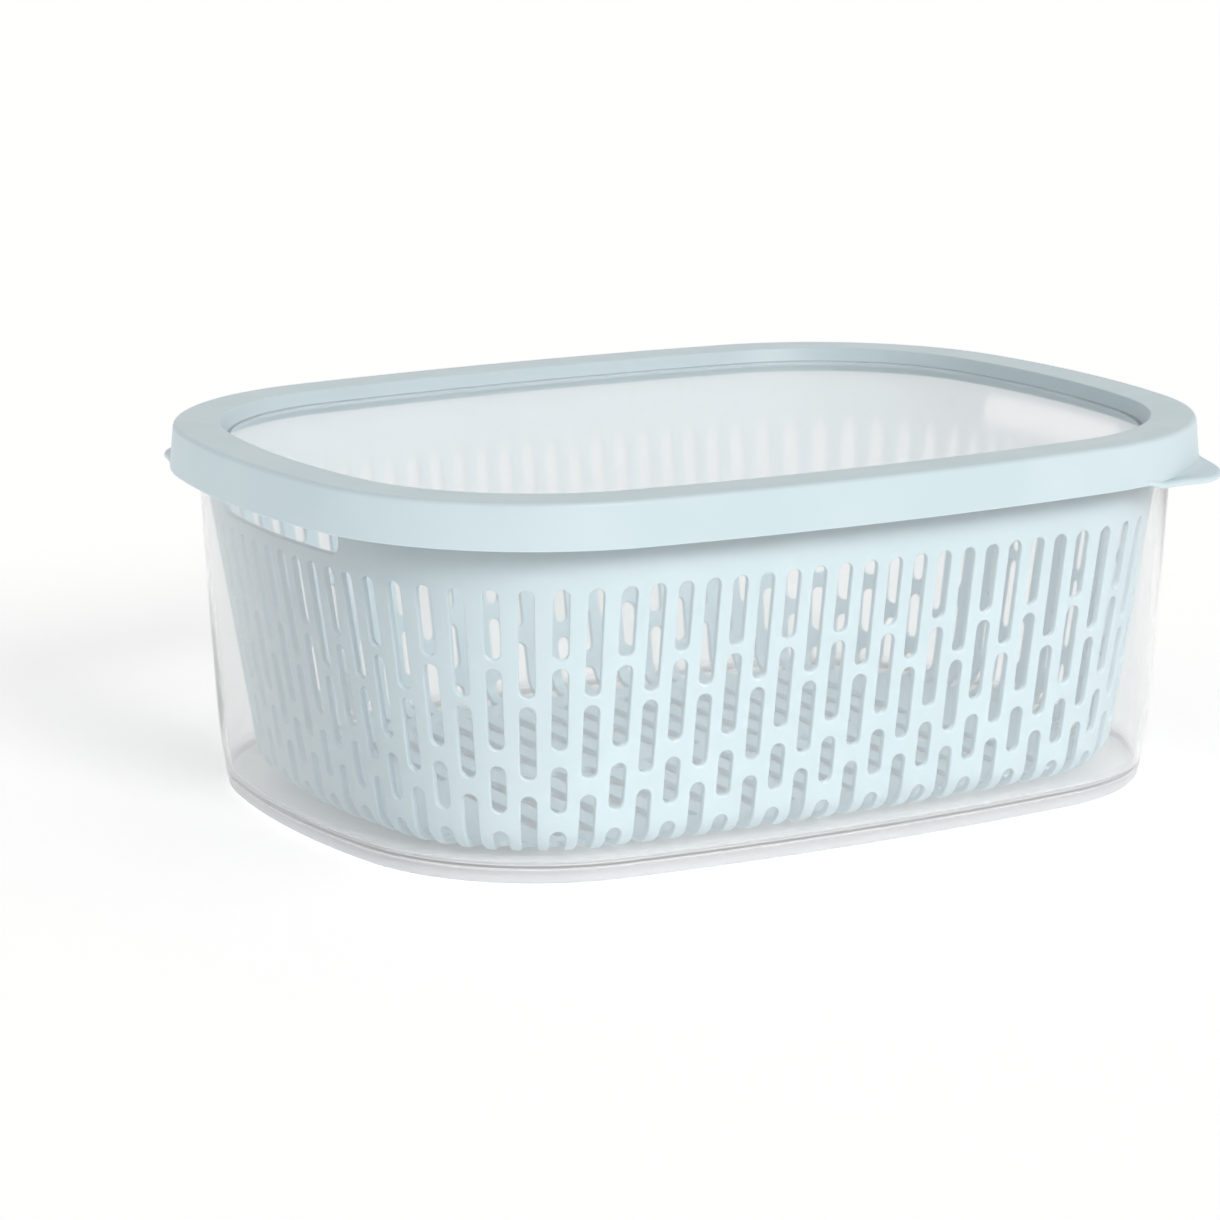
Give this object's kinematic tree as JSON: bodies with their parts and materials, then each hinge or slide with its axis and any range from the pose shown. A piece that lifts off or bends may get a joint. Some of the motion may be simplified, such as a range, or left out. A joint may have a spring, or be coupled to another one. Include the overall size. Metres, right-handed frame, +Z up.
{
  "type": "produce keeper",
  "caption": "Clear rounded food keeper with a slotted drain basket inside and a lift-off lid with pull tabs and a translucent window.",
  "frame": {"origin": "centre of the base, on the surface that the keeper stands on", "axes": "+X along the length, +Y towards the back long side, +Z up"},
  "size_m": [0.28, 0.2116, 0.1031],
  "materials": {
    "clear_plastic": "clear, glossy, injection moulded",
    "basket_plastic": "pale blue, satin gloss, injection moulded",
    "lid_plastic": "pale blue, satin gloss, injection moulded",
    "frosted_plastic": "milky, translucent"
  },
  "bodies": {
    "tub": {"container": "clear_plastic", "basket": "basket_plastic"},
    "lid": {"lid_frame": "lid_plastic", "lid_window": "frosted_plastic"}
  },
  "joints": [
    {"name": "lid_lift", "type": "slide", "parent": "tub", "child": "lid", "axis": [0, 0, 1], "range_m": [0, 0.12]}
  ]
}
